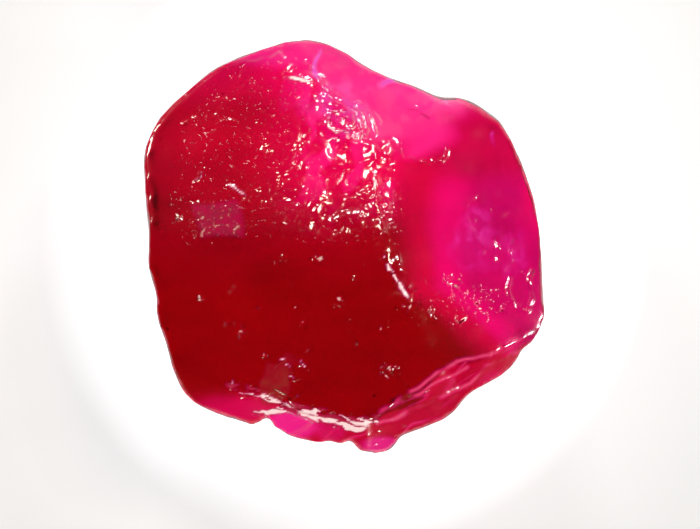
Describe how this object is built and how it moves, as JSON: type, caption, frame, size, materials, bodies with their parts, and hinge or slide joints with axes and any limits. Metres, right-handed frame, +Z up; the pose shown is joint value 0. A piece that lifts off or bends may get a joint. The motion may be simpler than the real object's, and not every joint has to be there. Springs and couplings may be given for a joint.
{
  "type": "raw ruby crystal",
  "caption": "Rough, water-worn ruby crystal: a stout hexagonal corundum prism with a pitted crown, broken ledges and a flat parting face to rest on.",
  "frame": {"origin": "in the plane of the flat resting face, under the middle of the crystal's bounding box", "axes": "+Z up, along the crystal's c axis, out of its crown; +Y is the longest extent, and +X points to the thin, brighter side"},
  "size_m": [0.01, 0.0104, 0.0074],
  "materials": {
    "ruby": "raw ruby, deep pinkish red and see-through, vitreous lustre on an etched and chipped surface"
  },
  "bodies": {
    "root": {"ruby_crystal": "ruby"}
  },
  "joints": []
}
